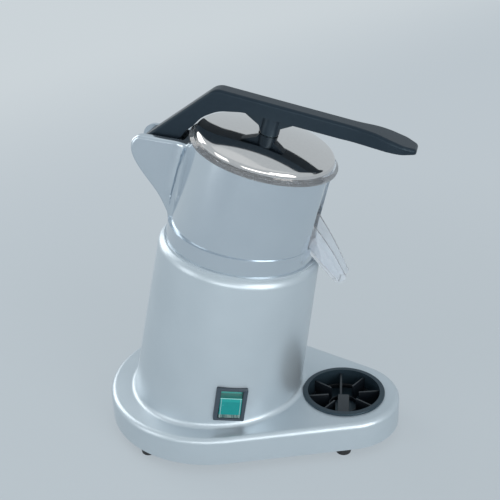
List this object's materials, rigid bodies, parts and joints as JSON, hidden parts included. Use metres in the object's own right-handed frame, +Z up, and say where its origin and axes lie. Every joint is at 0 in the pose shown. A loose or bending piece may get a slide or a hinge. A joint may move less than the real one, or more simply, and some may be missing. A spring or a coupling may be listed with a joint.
{
  "type": "electric citrus juice press",
  "caption": "Leaning motor housing on a teardrop base, clear juice bowl with spout, domed lid pulled down by a hinged lever, drip cup in the base.",
  "frame": {"origin": "centre of the bounding box on the table, under the feet", "axes": "+Z up, +X towards the spout and drip cup, +Y to the side away from the switch"},
  "size_m": [0.2846, 0.2, 0.3238],
  "materials": {
    "cast_alloy": "silver-grey enamel over cast alloy, softly glossy",
    "plate_steel": "plain sheet steel",
    "black_rubber": "black, matt",
    "screw_steel": "zinc-plated",
    "clear_plastic": "clear moulded plastic, polished",
    "strainer_steel": "pressed stainless sheet, satin",
    "white_plastic": "white moulded plastic",
    "lid_steel": "polished stainless sheet",
    "lever_black": "black powder coat, fine texture",
    "cup_black": "black moulded plastic",
    "cup_grey": "dark grey moulded plastic",
    "bezel_black": "black moulded plastic",
    "rocker_green": "green translucent plastic",
    "contact_brass": "plain",
    "bush_brass": "sintered, oiled",
    "motor_steel": "laminated electrical steel, lacquered",
    "motor_copper": "enamelled copper wire",
    "motor_alloy": "die-cast, unpainted",
    "cap_white": "white moulded can",
    "block_white": "natural nylon"
  },
  "bodies": {
    "stand": {"housing": "cast_alloy", "bottom_plate": "plate_steel", "rubber_feet": "black_rubber", "foot_screws": "screw_steel", "bowl_holder": "cast_alloy", "holder_screws": "screw_steel", "motor_screws": "screw_steel", "juice_bowl": "clear_plastic", "strainer": "strainer_steel", "pivot_pin": "screw_steel", "switch_body": "bezel_black", "switch_tabs": "contact_brass", "motor_upper_shield": "motor_alloy", "motor_lower_shield": "motor_alloy", "motor_stator": "motor_steel", "motor_windings": "motor_copper", "motor_bearings": "screw_steel", "motor_tie_bolts": "screw_steel", "capacitor": "cap_white", "capacitor_clip": "plate_steel", "clip_screws": "screw_steel", "terminal_block": "block_white", "terminal_screws": "contact_brass", "cord_gland": "bezel_black", "gland_nut": "bezel_black"},
    "lever": {"lever": "lever_black", "lever_bushes": "bush_brass", "lid_stud": "screw_steel"},
    "lid": {"lid": "lid_steel", "presser": "white_plastic", "lid_collar": "bezel_black"},
    "rotor": {"motor_shaft": "screw_steel", "motor_rotor": "motor_alloy", "drive_pin": "screw_steel", "shaft_seal": "black_rubber", "reamer": "white_plastic"},
    "rocker": {"switch_rocker": "rocker_green"},
    "cup": {"drip_cup": "cup_black"},
    "insert": {"drip_insert": "cup_grey"}
  },
  "joints": [
    {"name": "lever_swing", "type": "hinge", "parent": "stand", "child": "lever", "pos_m": [-0.08159, 0, 0.26941], "axis": [0, -1, 0], "range_deg": [0, 78]},
    {"name": "lid_swivel", "type": "hinge", "parent": "lever", "child": "lid", "pos_m": [-0.0091, 0, 0.1855], "axis": [0.2723, 0, 0.9622], "continuous": true},
    {"name": "motor_spin", "type": "hinge", "parent": "stand", "child": "rotor", "pos_m": [-0.0091, 0, 0.1855], "axis": [0.2723, 0, 0.9622], "continuous": true},
    {"name": "switch_rock", "type": "hinge", "parent": "stand", "child": "rocker", "pos_m": [-0.00477, -0.07044, 0.05928], "axis": [0.9182, 0.3584, -0.1685], "range_deg": [0, 14]},
    {"name": "drip_cup_lift", "type": "slide", "parent": "stand", "child": "cup", "axis": [0, 0, 1], "range_m": [0, 0.02]},
    {"name": "drip_insert_lift", "type": "slide", "parent": "cup", "child": "insert", "axis": [0, 0, 1], "range_m": [0, 0.025]}
  ]
}
